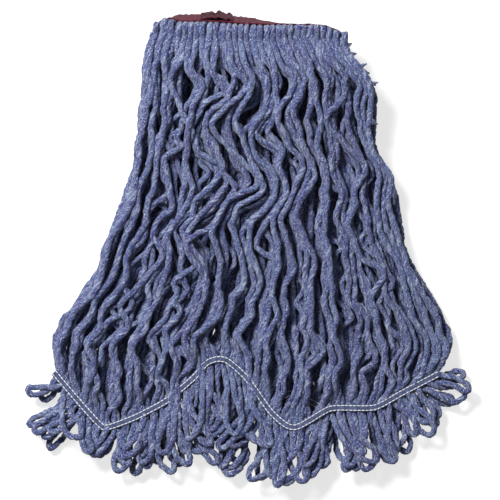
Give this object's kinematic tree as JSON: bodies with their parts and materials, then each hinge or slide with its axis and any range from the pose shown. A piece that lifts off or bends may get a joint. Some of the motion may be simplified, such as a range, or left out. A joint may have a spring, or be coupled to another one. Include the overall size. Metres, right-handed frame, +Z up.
{
  "type": "string mop head",
  "caption": "Looped-end wet mop head of blended yarn with a narrow headband and sewn tail bands, folded in half and lying flat.",
  "frame": {"origin": "middle of the headband's outer face, where a mop holder's jaw bears on it", "axes": "+X across the mop, +Y from the loops towards the headband, +Z up from the surface that the mop lies on"},
  "size_m": [0.3973, 0.4144, 0.0477],
  "materials": {
    "yarn": "mottled four-ply blended yarn, blue with pale flecks, matt and slightly fuzzy",
    "headband_tape": "woven polyester tape, dark red, matt",
    "tail_tape": "narrow woven tape, grey-blue, matt",
    "stitching": "white polyester sewing thread, slight sheen"
  },
  "bodies": {
    "headband": {"headband_lap": "headband_tape", "headband_stitches": "stitching", "headband_tape": "headband_tape", "headband_yarn": "yarn"},
    "front_curtain": {"front_tail_stitches_top": "stitching", "front_tail_stitches_under": "stitching", "front_tail_tape_top": "tail_tape", "front_tail_tape_under": "tail_tape", "front_yarn_01": "yarn", "front_yarn_02": "yarn", "front_yarn_03": "yarn", "front_yarn_04": "yarn", "front_yarn_05": "yarn", "front_yarn_06": "yarn", "front_yarn_07": "yarn", "front_yarn_08": "yarn", "front_yarn_09": "yarn", "front_yarn_10": "yarn", "front_yarn_11": "yarn", "front_yarn_12": "yarn", "front_yarn_13": "yarn", "front_yarn_14": "yarn", "front_yarn_15": "yarn"},
    "back_curtain": {"back_tail_stitches_top": "stitching", "back_tail_stitches_under": "stitching", "back_tail_tape_top": "tail_tape", "back_tail_tape_under": "tail_tape", "back_yarn_01": "yarn", "back_yarn_02": "yarn", "back_yarn_03": "yarn", "back_yarn_04": "yarn", "back_yarn_05": "yarn", "back_yarn_06": "yarn", "back_yarn_07": "yarn", "back_yarn_08": "yarn", "back_yarn_09": "yarn", "back_yarn_10": "yarn", "back_yarn_11": "yarn", "back_yarn_12": "yarn", "back_yarn_13": "yarn", "back_yarn_14": "yarn", "back_yarn_15": "yarn"}
  },
  "joints": [
    {"name": "front_fold", "type": "hinge", "parent": "headband", "child": "front_curtain", "pos_m": [0, -0.01061, 0.01656], "axis": [-1, 0, 0], "range_deg": [0, 76]},
    {"name": "back_fold", "type": "hinge", "parent": "headband", "child": "back_curtain", "pos_m": [0, -0.00117, -0.0213], "axis": [1, 0, 0], "range_deg": [0, 104]}
  ]
}
